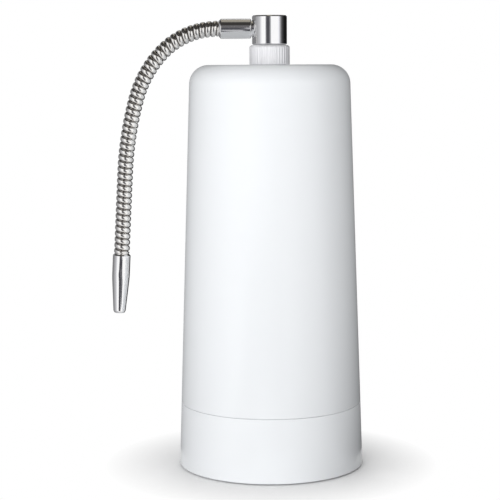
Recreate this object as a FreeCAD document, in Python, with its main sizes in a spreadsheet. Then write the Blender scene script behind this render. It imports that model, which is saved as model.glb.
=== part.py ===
import FreeCAD, Part
import math
import os
import re

import Sketcher

# Driving sizes in millimetres and degrees, each measured on the object or set by itself
SIZES = {
    # Base cup, standing on a rubber ring
    "foot_radius": 66.0,
    "foot_wall": 4.7,
    "seam_radius": 64.5,
    "seam_height": 45.6,
    "base_wall": 3.2,
    "shelf_thick": 3.6,
    "floor_height": 24.0,
    "floor_thick": 4.0,
    "spigot_height": 18.0,
    "spigot_wall": 3.2,
    "rib_thick": 2.0,
    "rib_count": 8,
    "foot_stand": 1.0,
    "foot_thick": 3.0,
    "foot_width": 4.6,
    # Housing, screwed on the base's spigot
    "housing_height": 286.3,
    "top_radius": 56.4,
    "housing_wall": 3.5,
    "roof_thick": 4.0,
    "shoulder_round": 13.5,
    "seam_gap": 0.6,
    "seal_thick": 2.0,
    "land_width": 4.9,
    "land_height": 16.0,
    "neck_radius": 11.0,
    "neck_height": 7.0,
    "seat_radius": 15.0,
    "seat_drop": 6.3,
    # Cartridge, open at both ends
    "cartridge_room": 9.1,
    "wrap_thick": 1.6,
    "cap_wall": 1.8,
    "cap_floor": 3.0,
    "cap_rim": 11.0,
    "gasket_thick": 2.5,
    "gasket_radius": 18.0,
    "core_bore": 10.0,
    "core_wall": 2.0,
    "slot_width": 4.0,
    "slot_rows": 5,
    "slot_columns": 4,
    # Inlet fitting for a push-in tube
    "tube_radius": 3.2,
    "boss_radius": 8.5,
    "boss_stand": 2.0,
    "stem_radius": 6.5,
    "stem_length": 13.0,
    "stem_way": 2.2,
    "hex_radius": 9.8,
    "hex_thick": 4.0,
    "barrel_radius": 8.2,
    "barrel_length": 17.0,
    "socket_depth": 7.0,
    "seal_width": 2.0,
    "collet_chamber": 5.0,
    "collet_flange": 6.4,
    "collet_stand": 1.8,
    # Collar nut over the swivel joint
    "nut_radius": 14.2,
    "nut_height": 13.5,
    "nut_chamfer": 1.2,
    "nut_lip": 3.0,
    "flute_count": 40,
    "flute_depth": 0.7,
    "flute_width": 1.5,
    # Swivel elbow and its tail in the neck
    "elbow_radius": 12.25,
    "elbow_height": 20.6,
    "elbow_chamfer": 0.8,
    "outlet_rise": 11.4,
    "tail_radius": 8.0,
    "tail_length": 21.0,
    "water_way": 4.6,
    "washer_thick": 1.2,
    "washer_width": 2.5,
    "ring_thick": 1.1,
    "ring_depth": 1.0,
    "ring_stand": 1.6,
    "ring_opening": 60.0,
    "tail_seal_depth": 1.4,
    "tail_seal_width": 2.4,
    "tail_seal_rise": 4.5,
    # Nipple and crimped ferrule
    "nipple_radius": 5.65,
    "nipple_length": 6.0,
    "nipple_thread": 5.0,
    "nipple_depth": 7.0,
    "nipple_way": 1.8,
    "barb_length": 15.0,
    "spot_face": 10.8,
    "ferrule_radius": 6.95,
    "ferrule_length": 22.8,
    "ferrule_start": 2.2,
    "ferrule_shoulder": 7.8,
    "ferrule_waist": 6.5,
    "ferrule_swell": 0.1,
    "ferrule_chamfer": 1.6,
    "ferrule_grip": 4.0,
    # Wound spout: a short lead, three tangent bends that open out, and a straight drop
    "spout_radius": 5.6,
    "spout_groove": 4.7,
    "spout_pitch": 4.2,
    "lead_length": 1.3,
    "first_bend": 54.0,
    "first_angle": 47.4,
    "second_bend": 77.0,
    "second_angle": 27.0,
    "third_bend": 244.0,
    "third_angle": 12.4,
    "drop_length": 58.0,
    "liner_radius": 3.6,
    "liner_wall": 1.1,
    # Nozzle
    "nozzle_radius": 6.3,
    "nozzle_length": 42.5,
    "nozzle_straight": 17.0,
    "nozzle_chamfer": 1.1,
    "nozzle_socket": 8.0,
    "tip_radius": 4.4,
    "tip_round": 1.5,
    "outlet_radius": 2.75,
    # Clearances
    "running_play": 0.06,
    "seat_play": 0.05,
    "spigot_play": 0.15,
    "seal_play": 0.3,
    "swivel_play": 0.1,
    "elbow_rise": 0.2,
    "lip_play": 0.3,
}

# Radii and heights that follow from the driving sizes; heights are above the floor
DERIVED = {
    "foot_inner": "foot_radius - foot_wall",
    "skirt_inner": "seam_radius - base_wall",
    "housing_inner_low": "seam_radius - housing_wall",
    "housing_inner_top": "top_radius - housing_wall",
    "spigot_radius": "housing_inner_low - land_width",
    "bowl_radius": "spigot_radius - spigot_wall",
    "spigot_top": "seam_height + spigot_height",
    "slot_top": "seam_height - shelf_thick",
    "inlet_height": "(floor_height + slot_top) / 2",
    "boss_face": "(foot_radius + seam_radius) / 2 + boss_stand",
    "stem_bore": "stem_radius + seat_play",
    "housing_foot": "seam_height + seam_gap",
    "land_under": "seam_height + seal_thick",
    "land_top": "land_under + land_height",
    "taper": "(seam_radius - top_radius) / (housing_height - housing_foot)",
    "roof_under": "housing_height - roof_thick",
    "seat_height": "roof_under - seat_drop",
    "neck_top": "housing_height + neck_height",
    "neck_bore": "tail_radius + running_play",
    "cap_foot": "floor_height + gasket_thick",
    "cap_top": "seat_height - gasket_thick",
    "cap_radius": "min(bowl_radius; housing_inner_top) - cartridge_room",
    "cartridge_radius": "cap_radius - cap_wall",
    "carbon_radius": "cartridge_radius - wrap_thick",
    "core_radius": "core_bore + core_wall",
    "carbon_foot": "cap_foot + cap_floor",
    "carbon_top": "cap_top - cap_floor",
    "carbon_length": "carbon_top - carbon_foot",
    "slot_pitch": "carbon_length / slot_rows",
    "nut_foot": "housing_height + swivel_play",
    "nut_top": "nut_foot + nut_height",
    "nut_bore": "neck_radius + swivel_play",
    "lip_under": "nut_top - nut_lip",
    "lip_bore": "tail_radius + lip_play",
    "washer_top": "lip_under - swivel_play",
    "ring_top": "washer_top - washer_thick",
    "ring_foot": "ring_top - ring_thick",
    "ring_groove": "tail_radius - ring_depth",
    "elbow_foot": "nut_top + elbow_rise",
    "elbow_top": "elbow_foot + elbow_height",
    "outlet_height": "elbow_foot + outlet_rise",
    "tail_foot": "elbow_foot - tail_length",
    "seal_foot": "tail_foot + tail_seal_rise",
    "seal_top": "seal_foot + tail_seal_width",
    "seal_groove": "tail_radius - tail_seal_depth",
    "socket_top": "barrel_length / 2",
    "socket_bottom": "socket_top - socket_depth",
    "collet_foot": "socket_top + seal_width + seal_play",
    "ferrule_end": "ferrule_start + ferrule_length",
    "spout_end_radius": "spout_groove + seat_play",
    "barb_radius": "liner_radius - liner_wall - seat_play",
}

# How near an edge's radius and height must be to the asked ones
EDGE_MATCH = 1e-4

doc = FreeCAD.newDocument("water_purifier")
sheet = doc.addObject("Spreadsheet::Sheet", "Sizes")
for row, (word, size) in enumerate(SIZES.items(), start=1):
    sheet.set(f"A{row}", word)
    sheet.set(f"B{row}", str(size))
    sheet.setAlias(f"B{row}", word)
doc.recompute()


def formula(text):
    """The text with each size's name written as its cell, and each derived one worked out."""

    def cell(match):
        word = match.group()
        if word in DERIVED:
            return f"({formula(DERIVED[word])})"
        return f"Sizes.{word}" if word in SIZES else word

    return re.sub(r"[a-z_]+", cell, str(text))


def value(text):
    """What a formula comes to, in millimetres or degrees."""
    return float(sheet.evalExpression(formula(text)))


def bind(thing, **sizes):
    """Tie properties of a thing to formulas; a double underscore stands for a dot."""
    for name, text in sizes.items():
        thing.setExpression(name.replace("__", "."), formula(text))


def origin_part(body, role):
    return [part for part in body.Origin.OriginFeatures if part.Role == role][0]


def new_body(name):
    body = doc.addObject("PartDesign::Body", name)
    body.Label = name
    return body


def new_sketch(body, name, plane):
    sketch = body.newObject("Sketcher::SketchObject", name)
    sketch.AttachmentSupport = [(origin_part(body, plane), "")]
    sketch.MapMode = "FlatFace"
    return sketch


def add_outline(sketch, corners):
    """Draw a closed outline through corners, each a pair of formulas."""
    first = sketch.GeometryCount
    places = [FreeCAD.Vector(value(out), value(up), 0) for out, up in corners]
    count = len(corners)
    for number in range(count):
        sketch.addGeometry(Part.LineSegment(places[number], places[(number + 1) % count]))
    for number in range(count):
        join = (first + number, 2, first + (number + 1) % count, 1)
        sketch.addConstraint(Sketcher.Constraint("Coincident", *join))
    for number, corner in enumerate(corners):
        for kind, text in zip(("DistanceX", "DistanceY"), corner):
            place = (-1, 1, first + number, 1, value(text))
            row = sketch.addConstraint(Sketcher.Constraint(kind, *place))
            sketch.setExpression(f"Constraints[{row}]", formula(text))


def add_circle(sketch, out, up, radius):
    """Draw a circle with its centre and radius tied to formulas."""
    place = FreeCAD.Vector(value(out), value(up), 0)
    number = sketch.addGeometry(Part.Circle(place, FreeCAD.Vector(0, 0, 1), value(radius)))
    for kind, text in (("DistanceX", out), ("DistanceY", up)):
        row = sketch.addConstraint(Sketcher.Constraint(kind, -1, 1, number, 3, value(text)))
        sketch.setExpression(f"Constraints[{row}]", formula(text))
    row = sketch.addConstraint(Sketcher.Constraint("Radius", number, value(radius)))
    sketch.setExpression(f"Constraints[{row}]", formula(radius))


def turn(body, name, corners, kind="PartDesign::Revolution"):
    """Spin an upright outline round the body's own upright axis, to add or to cut."""
    sketch = new_sketch(body, f"{name}_outline", "XZ_Plane")
    add_outline(sketch, corners)
    feature = body.newObject(kind, name)
    feature.Profile = sketch
    feature.ReferenceAxis = (sketch, ["V_Axis"])
    feature.Angle = 360
    sketch.Visibility = False
    return feature


def round_pattern(body, name, feature, count):
    """Repeat a feature round the body's upright axis."""
    pattern = body.newObject("PartDesign::PolarPattern", name)
    pattern.Originals = [feature]
    pattern.Axis = (origin_part(body, "Z_Axis"), [""])
    pattern.Angle = 360
    bind(pattern, Occurrences=count)
    body.Tip = pattern
    return pattern


def round_edges(feature, radius, height):
    """Names of the level circular edges of a radius at a height."""
    found = []
    for number, edge in enumerate(feature.Shape.Edges, start=1):
        if not isinstance(edge.Curve, Part.Circle):
            continue
        off_radius = abs(edge.Curve.Radius - value(radius))
        off_height = abs(edge.BoundBox.ZMin - value(height))
        if max(off_radius, off_height) < EDGE_MATCH:
            found.append(f"Edge{number}")
    return found


def ring(name, outer, inner, foot, thick):
    """A plain ring between two radii, standing at a height."""
    outside = doc.addObject("Part::Cylinder", f"{name}_outside")
    bind(outside, Radius=outer, Height=thick)
    inside = doc.addObject("Part::Cylinder", f"{name}_inside")
    bind(inside, Radius=inner, Height=thick)
    cut = doc.addObject("Part::Cut", name)
    cut.Base = outside
    cut.Tool = inside
    cut.Label = name
    bind(cut, Placement__Base__z=foot)
    return cut


def check_volume(feature, before, cuts):
    """Stop if a feature left the solid as it was, or changed it the wrong way."""
    after = feature.Shape.Volume
    if (after >= before - 1e-3) if cuts else (after <= before + 1e-3):
        raise ValueError(f"{feature.Name} changed nothing")


# Base


def make_base_cup():
    """Tapered skirt, shelf and spigot in one moulding, cored and ribbed from below."""
    body = new_body("base_cup")
    turn(body, "base_shell", [
        ("foot_radius", "foot_stand"),
        ("seam_radius", "seam_height"),
        ("spigot_radius", "seam_height"),
        ("spigot_radius", "spigot_top"),
        ("bowl_radius", "spigot_top"),
        ("bowl_radius", "floor_height"),
        ("0", "floor_height"),
        ("0", "floor_height - floor_thick"),
        ("spigot_radius", "floor_height - floor_thick"),
        ("spigot_radius", "slot_top"),
        ("skirt_inner", "slot_top"),
        ("foot_inner", "foot_thick"),
        ("foot_inner", "foot_stand"),
    ])
    doc.recompute()

    rib_outline = new_sketch(body, "rib_outline", "XZ_Plane")
    add_outline(rib_outline, [
        ("0", "foot_thick"),
        ("foot_inner + foot_wall / 2", "foot_thick"),
        ("skirt_inner + base_wall / 2", "seam_height - shelf_thick / 2"),
        ("spigot_radius - spigot_wall / 2", "seam_height - shelf_thick / 2"),
        ("spigot_radius - spigot_wall / 2", "floor_height - floor_thick / 2"),
        ("0", "floor_height - floor_thick / 2"),
    ])
    rib = body.newObject("PartDesign::Pad", "base_rib")
    rib.Profile = rib_outline
    rib.SideType = "Symmetric"
    bind(rib, Length="rib_thick")
    doc.recompute()
    round_pattern(body, "base_ribs", rib, "rib_count")
    doc.recompute()

    # Round pad at the back, flat for the inlet fitting's hexagon
    boss_circle = new_sketch(body, "boss_circle", "XZ_Plane")
    add_circle(boss_circle, "0", "inlet_height", "boss_radius")
    bind(boss_circle, AttachmentOffset__Base__z="-boss_face")
    boss = body.newObject("PartDesign::Pad", "inlet_boss")
    boss.Profile = boss_circle
    bind(boss, Length="boss_face - (bowl_radius + spigot_radius) / 2")
    doc.recompute()
    solid = boss.Shape.Volume

    bore_circle = new_sketch(body, "bore_circle", "XZ_Plane")
    add_circle(bore_circle, "0", "inlet_height", "stem_bore")
    bore = body.newObject("PartDesign::Pocket", "inlet_bore")
    bore.Profile = bore_circle
    bore.Type = "ThroughAll"
    doc.recompute()
    check_volume(bore, solid, cuts=True)
    return body


# Housing


def make_housing():
    """Tapered pressure shell with a rounded shoulder, neck, cartridge seat and thread land."""
    body = new_body("housing")
    shell = turn(body, "housing_shell", [
        ("seam_radius", "housing_foot"),
        ("top_radius", "housing_height"),
        ("neck_radius", "housing_height"),
        ("neck_radius", "neck_top"),
        ("neck_bore", "neck_top"),
        ("neck_bore", "seat_height"),
        ("seat_radius", "seat_height"),
        ("seat_radius", "roof_under"),
        ("housing_inner_top", "roof_under"),
        ("housing_inner_low - (land_top - housing_foot) * taper", "land_top"),
        ("spigot_radius + spigot_play", "land_top"),
        ("spigot_radius + spigot_play", "land_under"),
        ("housing_inner_low", "land_under"),
        ("housing_inner_low", "housing_foot"),
    ])
    doc.recompute()

    shoulder = body.newObject("PartDesign::Fillet", "outer_shoulder")
    shoulder.Base = (shell, round_edges(shell, "top_radius", "housing_height"))
    bind(shoulder, Radius="shoulder_round")
    doc.recompute()

    inside = body.newObject("PartDesign::Chamfer", "inner_shoulder")
    inside.Base = (shoulder, round_edges(shoulder, "housing_inner_top", "roof_under"))
    bind(inside, Size="(shoulder_round - housing_wall) / 2")
    doc.recompute()
    return body


# Cartridge


def make_end_cap(name, face, way):
    """Moulded cap: a floor with a hole in it and a rim over the wrap, facing up or down."""
    body = new_body(name)
    turn(body, f"{name}_shell", [
        ("core_bore", face),
        ("cap_radius", face),
        ("cap_radius", f"{face} {way} cap_rim"),
        ("cartridge_radius + seat_play", f"{face} {way} cap_rim"),
        ("cartridge_radius + seat_play", f"{face} {way} cap_floor"),
        ("core_bore", f"{face} {way} cap_floor"),
    ])
    return body


def make_core_tube():
    """Slotted tube that carries the filtered water up the middle."""
    body = new_body("core_tube")
    tube = turn(body, "core_shell", [
        ("core_bore", "carbon_foot"),
        ("core_radius", "carbon_foot"),
        ("core_radius", "carbon_top"),
        ("core_bore", "carbon_top"),
    ])
    doc.recompute()
    solid = tube.Shape.Volume
    slot_outline = new_sketch(body, "slot_outline", "XZ_Plane")
    for row in range(int(value("slot_rows"))):
        low = f"carbon_foot + slot_pitch * {row + 0.25}"
        high = f"carbon_foot + slot_pitch * {row + 0.75}"
        add_outline(slot_outline, [
            ("-slot_width / 2", low),
            ("slot_width / 2", low),
            ("slot_width / 2", high),
            ("-slot_width / 2", high),
        ])
    slots = body.newObject("PartDesign::Pocket", "core_slots")
    slots.Profile = slot_outline
    slots.Type = "ThroughAll"
    doc.recompute()
    check_volume(slots, solid, cuts=True)
    round_pattern(body, "core_slot_pattern", slots, "slot_columns")
    return body


# Inlet


def lay_inlet(body):
    """Lay an inlet piece on the boss's face, pointing out of the back."""
    body.Placement.Rotation = FreeCAD.Rotation(FreeCAD.Vector(1, 0, 0), -90)
    bind(body, Placement__Base__y="boss_face", Placement__Base__z="inlet_height")


def make_inlet_fitting():
    """Push-in fitting: stem, hexagon and barrel, stepped inside for tube, seal and collet."""
    body = new_body("inlet_fitting")
    turn(body, "fitting_barrel", [
        ("0", "-stem_length"),
        ("stem_radius", "-stem_length"),
        ("stem_radius", "0"),
        ("barrel_radius", "0"),
        ("barrel_radius", "barrel_length"),
        ("0", "barrel_length"),
    ])
    hexagon = new_sketch(body, "fitting_hexagon", "XY_Plane")
    corners = [(f"hex_radius * cos({angle})", f"hex_radius * sin({angle})") for angle in range(0, 360, 60)]
    add_outline(hexagon, corners)
    flange = body.newObject("PartDesign::Pad", "fitting_flange")
    flange.Profile = hexagon
    bind(flange, Length="hex_thick")
    doc.recompute()
    solid = flange.Shape.Volume
    way = turn(body, "fitting_way", [
        ("0", "-stem_length - seat_play"),
        ("stem_way", "-stem_length - seat_play"),
        ("stem_way", "socket_bottom"),
        ("tube_radius", "socket_bottom"),
        ("tube_radius", "socket_top"),
        ("collet_chamber", "socket_top"),
        ("collet_chamber", "barrel_length + seat_play"),
        ("0", "barrel_length + seat_play"),
    ], "PartDesign::Groove")
    doc.recompute()
    check_volume(way, solid, cuts=True)
    lay_inlet(body)
    return body


def make_inlet_seal():
    """Seal ring round the tube, at the bottom of the collet's chamber."""
    body = new_body("inlet_seal")
    turn(body, "inlet_seal_shell", [
        ("tube_radius", "socket_top"),
        ("collet_chamber - seat_play", "socket_top"),
        ("collet_chamber - seat_play", "socket_top + seal_width"),
        ("tube_radius", "socket_top + seal_width"),
    ])
    lay_inlet(body)
    return body


def make_inlet_collet():
    """Flanged release ring that grips the tube."""
    body = new_body("inlet_collet")
    turn(body, "collet_shell", [
        ("tube_radius", "collet_foot"),
        ("collet_chamber - seat_play", "collet_foot"),
        ("collet_chamber - seat_play", "barrel_length + seat_play"),
        ("collet_flange", "barrel_length + seat_play"),
        ("collet_flange", "barrel_length + collet_stand"),
        ("tube_radius", "barrel_length + collet_stand"),
    ])
    lay_inlet(body)
    return body


# Swivel joint


def make_collar_nut():
    """Nut with a fluted grip and a lip that holds the swivel's tail."""
    body = new_body("collar_nut")
    turn(body, "nut_shell", [
        ("nut_bore", "nut_foot"),
        ("nut_radius", "nut_foot"),
        ("nut_radius", "nut_top - nut_chamfer"),
        ("nut_radius - nut_chamfer", "nut_top"),
        ("lip_bore", "nut_top"),
        ("lip_bore", "lip_under"),
        ("nut_bore", "lip_under"),
    ])
    flute_outline = new_sketch(body, "flute_outline", "XY_Plane")
    add_outline(flute_outline, [
        ("nut_radius - flute_depth", "0"),
        ("nut_radius + flute_depth", "-flute_width"),
        ("nut_radius + flute_depth", "flute_width"),
    ])
    doc.recompute()
    flute = body.newObject("PartDesign::Pocket", "nut_flute")
    flute.Profile = flute_outline
    flute.Type = "ThroughAll"
    flute.SideType = "Symmetric"
    doc.recompute()
    round_pattern(body, "nut_flutes", flute, "flute_count")
    return body


def make_spout_elbow():
    """Drum with a side outlet, on a tail grooved for its seal and retaining ring."""
    body = new_body("spout_elbow")
    drum = turn(body, "elbow_drum", [
        ("0", "tail_foot"),
        ("tail_radius", "tail_foot"),
        ("tail_radius", "seal_foot"),
        ("seal_groove", "seal_foot"),
        ("seal_groove", "seal_top"),
        ("tail_radius", "seal_top"),
        ("tail_radius", "ring_foot"),
        ("ring_groove", "ring_foot"),
        ("ring_groove", "ring_top"),
        ("tail_radius", "ring_top"),
        ("tail_radius", "elbow_foot"),
        ("elbow_radius", "elbow_foot"),
        ("elbow_radius", "elbow_top"),
        ("0", "elbow_top"),
    ])
    doc.recompute()
    top_edge = round_edges(drum, "elbow_radius", "elbow_top")
    low_edge = round_edges(drum, "elbow_radius", "elbow_foot")
    chamfer = body.newObject("PartDesign::Chamfer", "elbow_edges")
    chamfer.Base = (drum, top_edge + low_edge)
    bind(chamfer, Size="elbow_chamfer")
    doc.recompute()
    solid = chamfer.Shape.Volume

    way = turn(body, "elbow_way", [
        ("0", "tail_foot - seat_play"),
        ("water_way", "tail_foot - seat_play"),
        ("water_way", "outlet_height"),
        ("0", "outlet_height + water_way / 2"),
    ], "PartDesign::Groove")
    doc.recompute()
    check_volume(way, solid, cuts=True)
    solid = way.Shape.Volume

    port_circle = new_sketch(body, "port_circle", "YZ_Plane")
    add_circle(port_circle, "0", "outlet_height", "nipple_thread")
    port = body.newObject("PartDesign::Pocket", "elbow_port")
    port.Profile = port_circle
    port.Type = "ThroughAll"
    doc.recompute()
    check_volume(port, solid, cuts=True)
    solid = port.Shape.Volume

    face_circle = new_sketch(body, "face_circle", "YZ_Plane")
    add_circle(face_circle, "0", "outlet_height", "nipple_radius + seat_play")
    bind(face_circle, AttachmentOffset__Base__z="-spot_face")
    face = body.newObject("PartDesign::Pocket", "elbow_spot_face")
    face.Profile = face_circle
    face.Type = "ThroughAll"
    doc.recompute()
    check_volume(face, solid, cuts=True)
    return body


def make_retaining_ring():
    """Open ring that clips into the tail's groove."""
    outside = doc.addObject("Part::Cylinder", "retaining_outside")
    bind(outside, Radius="tail_radius + ring_stand", Height="ring_thick", Angle="360 - ring_opening")
    inside = doc.addObject("Part::Cylinder", "retaining_inside")
    bind(inside, Radius="ring_groove + seat_play", Height="ring_thick")
    cut = doc.addObject("Part::Cut", "retaining_ring")
    cut.Base = outside
    cut.Tool = inside
    cut.Label = "retaining_ring"
    bind(cut, Placement__Base__z="ring_foot")
    return cut


# Spout


def lay_outlet(body):
    """Lay an outlet piece on the elbow's spot face, pointing out to the side."""
    body.Placement.Rotation = FreeCAD.Rotation(FreeCAD.Vector(0, 1, 0), -90)
    bind(body, Placement__Base__x="-spot_face", Placement__Base__z="outlet_height")


def make_hose_nipple():
    """Threaded stub in the elbow with a barb for the liner."""
    body = new_body("hose_nipple")
    turn(body, "nipple_shell", [
        ("nipple_way", "-nipple_depth"),
        ("nipple_thread - seat_play", "-nipple_depth"),
        ("nipple_thread - seat_play", "0"),
        ("nipple_radius", "0"),
        ("nipple_radius", "nipple_length"),
        ("barb_radius", "nipple_length"),
        ("barb_radius", "nipple_length + barb_length"),
        ("nipple_way", "nipple_length + barb_length"),
    ])
    lay_outlet(body)
    return body


def make_hose_ferrule():
    """Crimped sleeve with a rounded shoulder towards the elbow and a chamfered mouth."""
    body = new_body("hose_ferrule")
    turn(body, "ferrule_shell", [
        ("nipple_radius + seat_play", "ferrule_start"),
        ("ferrule_waist", "ferrule_start"),
        ("(ferrule_waist + ferrule_radius) / 2 + ferrule_swell", "ferrule_start + ferrule_shoulder / 3"),
        ("ferrule_radius", "ferrule_start + ferrule_shoulder"),
        ("ferrule_radius", "ferrule_end - ferrule_chamfer"),
        ("ferrule_radius - ferrule_chamfer", "ferrule_end"),
        ("spout_end_radius", "ferrule_end"),
        ("spout_end_radius", "ferrule_start + ferrule_grip"),
        ("nipple_radius + seat_play", "ferrule_start + ferrule_grip"),
    ])
    lay_outlet(body)
    return body


def spout_runs():
    """The spout's centre line as runs: (length, radius), with no radius for a straight run."""
    start = value("ferrule_length - ferrule_grip + lead_length")
    runs = [(start, None)]
    for bend in ("first", "second", "third"):
        radius = value(f"{bend}_bend")
        runs.append((radius * math.radians(value(f"{bend}_angle")), radius))
    runs.append((value("drop_length + nozzle_socket"), None))
    return runs


def spout_place(distance):
    """Place on the spout's centre line after a distance, with its own Z along the line."""
    point = FreeCAD.Vector(-value("spot_face + ferrule_start + ferrule_grip"), 0, value("outlet_height"))
    heading = math.pi
    left = distance
    for length, radius in spout_runs():
        step = min(left, length)
        if radius is None:
            point += FreeCAD.Vector(math.cos(heading), 0, math.sin(heading)) * step
        else:
            after = heading + step / radius
            across = math.sin(after) - math.sin(heading)
            down = math.cos(heading) - math.cos(after)
            point += FreeCAD.Vector(across, 0, down) * radius
            heading = after
        left -= step
        if left <= 0:
            break
    turned = FreeCAD.Rotation(FreeCAD.Vector(0, 1, 0), 90 - math.degrees(heading))
    return FreeCAD.Placement(point, turned)


def tube_loft(stations):
    """Solid through level circles of given radii, each at a distance along the centre line."""
    rings = []
    for distance, radius in stations:
        wire = Part.Wire([Part.makeCircle(radius)])
        wire.Placement = spout_place(distance)
        rings.append(wire)
    return Part.makeLoft(rings, True, True)


def smooth_stations(radius):
    """Circles close enough along the bends for a smooth bore, and only two on a straight run."""
    chords = (4, 2, 1)
    distance = spout_runs()[0][0]
    stations = [(0, radius), (distance, radius)]
    for (length, _), steps in zip(spout_runs()[1:4], chords):
        for step in range(1, steps + 1):
            stations.append((distance + length * step / steps, radius))
        distance += length
    stations.append((distance + spout_runs()[4][0], radius))
    return stations


def make_wound_spout():
    """Wound strip: ridge after ridge from the ferrule's mouth to the nozzle's, plain in both."""
    mouth = value("ferrule_length - ferrule_grip")
    length = sum(run[0] for run in spout_runs())
    far_mouth = length - value("nozzle_socket")
    count = round((far_mouth - mouth) / value("spout_pitch"))
    pitch = (far_mouth - mouth) / count
    groove = value("spout_groove")
    crest = value("spout_radius")
    stations = [(0, groove), (mouth, groove)]
    for number in range(count):
        stations.append((mouth + pitch * (number + 0.5), crest))
        stations.append((mouth + pitch * (number + 1), groove))
    stations.append((length, groove))
    outside = tube_loft(stations)
    bore = tube_loft(smooth_stations(value("liner_radius + seat_play")))
    spout = doc.addObject("Part::Feature", "wound_spout")
    spout.Label = "wound_spout"
    spout.Shape = outside.cut(bore)
    return spout


def make_liner_hose():
    """Water hose inside the wound strip, from the nipple to the nozzle."""
    outside = tube_loft(smooth_stations(value("liner_radius")))
    inside = tube_loft(smooth_stations(value("liner_radius - liner_wall")))
    liner = doc.addObject("Part::Feature", "liner_hose")
    liner.Label = "liner_hose"
    liner.Shape = outside.cut(inside)
    return liner


def make_nozzle():
    """Turned nozzle with a chamfered mouth, tapering to a rounded tip."""
    body = new_body("nozzle")
    turn(body, "nozzle_shell", [
        ("spout_end_radius", "0"),
        ("nozzle_radius - nozzle_chamfer", "0"),
        ("nozzle_radius", "nozzle_chamfer"),
        ("nozzle_radius", "nozzle_straight"),
        ("tip_radius", "nozzle_length - tip_round"),
        ("tip_radius - tip_round / 2", "nozzle_length"),
        ("outlet_radius", "nozzle_length"),
        ("outlet_radius", "nozzle_socket"),
        ("spout_end_radius", "nozzle_socket"),
    ])
    body.Placement = spout_place(sum(run[0] for run in spout_runs()) - value("nozzle_socket"))
    return body


pieces = [
    make_base_cup(),
    ring("foot_ring", "foot_inner - seat_play", "foot_inner - foot_width", "0", "foot_thick"),
    ring("housing_seal", "housing_inner_low - seal_play", "spigot_radius + seal_play", "seam_height", "seal_thick"),
    make_inlet_fitting(),
    make_inlet_seal(),
    make_inlet_collet(),
    ring("bottom_gasket", "gasket_radius", "core_bore", "floor_height", "gasket_thick"),
    make_end_cap("bottom_cap", "cap_foot", "+"),
    make_core_tube(),
    ring("carbon_block", "carbon_radius", "core_radius", "carbon_foot", "carbon_length"),
    ring("prefilter_wrap", "cartridge_radius", "carbon_radius", "carbon_foot", "carbon_length"),
    make_end_cap("top_cap", "cap_top", "-"),
    ring("top_gasket", "gasket_radius", "core_bore", "cap_top", "gasket_thick"),
    make_housing(),
    make_collar_nut(),
    make_spout_elbow(),
    ring("tail_seal", "tail_radius", "seal_groove + seat_play", "seal_foot", "tail_seal_width"),
    ring("slip_washer", "tail_radius + washer_width", "tail_radius + seat_play", "ring_top", "washer_thick"),
    make_retaining_ring(),
    make_hose_nipple(),
    make_hose_ferrule(),
    make_wound_spout(),
    make_liner_hose(),
    make_nozzle(),
]
doc.recompute()

for thing in doc.Objects:
    if {"Invalid", "Error"} & set(thing.State):
        raise ValueError(f"{thing.Name} failed: {thing.State}")
for piece in pieces:
    if piece.Shape.isNull() or not piece.Shape.isValid() or not piece.Shape.Solids:
        raise ValueError(f"{piece.Label} has no sound shape")

os.makedirs("parts", exist_ok=True)
for piece in pieces:
    piece.Shape.exportStep(f"parts/{piece.Label}.step")
    print(piece.Label, len(piece.Shape.Solids), round(piece.Shape.Volume, 1))
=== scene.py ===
"""Countertop water purifier: finished pieces, finishes and a small studio round the fixed frame."""

import math

import bmesh
import bpy
from bpy.props import FloatProperty, FloatVectorProperty, IntProperty, PointerProperty
from mathutils import Matrix, Vector, noise


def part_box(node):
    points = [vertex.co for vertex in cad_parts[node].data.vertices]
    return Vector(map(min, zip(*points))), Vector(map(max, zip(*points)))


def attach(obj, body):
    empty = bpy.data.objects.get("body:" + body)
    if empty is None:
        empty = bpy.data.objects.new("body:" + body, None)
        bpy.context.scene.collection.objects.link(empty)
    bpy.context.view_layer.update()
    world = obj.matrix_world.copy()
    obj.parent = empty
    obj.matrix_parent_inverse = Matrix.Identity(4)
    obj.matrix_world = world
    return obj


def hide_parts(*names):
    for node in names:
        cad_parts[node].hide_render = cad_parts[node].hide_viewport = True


bl_info = {
    "name": "Water Purifier",
    "version": (1, 0, 0),
    "blender": (4, 5, 0),
    "location": "View3D > Sidebar > Purifier",
    "description": "Builds a countertop water purifier with a wound spout, piece by piece",
    "category": "Add Mesh",
}

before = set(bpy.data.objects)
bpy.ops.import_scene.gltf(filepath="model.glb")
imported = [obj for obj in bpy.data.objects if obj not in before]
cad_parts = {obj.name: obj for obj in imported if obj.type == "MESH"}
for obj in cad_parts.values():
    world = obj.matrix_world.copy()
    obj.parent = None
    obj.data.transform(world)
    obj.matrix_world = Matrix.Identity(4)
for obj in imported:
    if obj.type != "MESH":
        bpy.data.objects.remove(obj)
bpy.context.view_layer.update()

# Solids of the frame that some sizes come from
BASE_LOW, BASE_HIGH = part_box("base_cup")
HOUSING_LOW, HOUSING_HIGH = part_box("housing")
FOOT_LOW, FOOT_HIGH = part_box("foot_ring")
SEAL_LOW, SEAL_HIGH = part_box("housing_seal")
WRAP_LOW, WRAP_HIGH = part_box("prefilter_wrap")
BOTTOM_CAP_LOW, BOTTOM_CAP_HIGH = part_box("bottom_cap")
TOP_CAP_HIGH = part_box("top_cap")[1]
NUT_LOW, NUT_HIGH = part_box("collar_nut")
ELBOW_LOW, ELBOW_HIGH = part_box("spout_elbow")
FERRULE_LOW, FERRULE_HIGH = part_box("hose_ferrule")

# Distance of the elbow's flat face from the axis
SPOT_FACE = 0.0108

# How much finer the seam shows than in the solids
SEAM_CLOSED = 0.00022

# Turns of a full spin, from small pieces to large ones
FINE_TURN = 64
SMOOTH_TURN = 96
LARGE_TURN = 192

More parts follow.
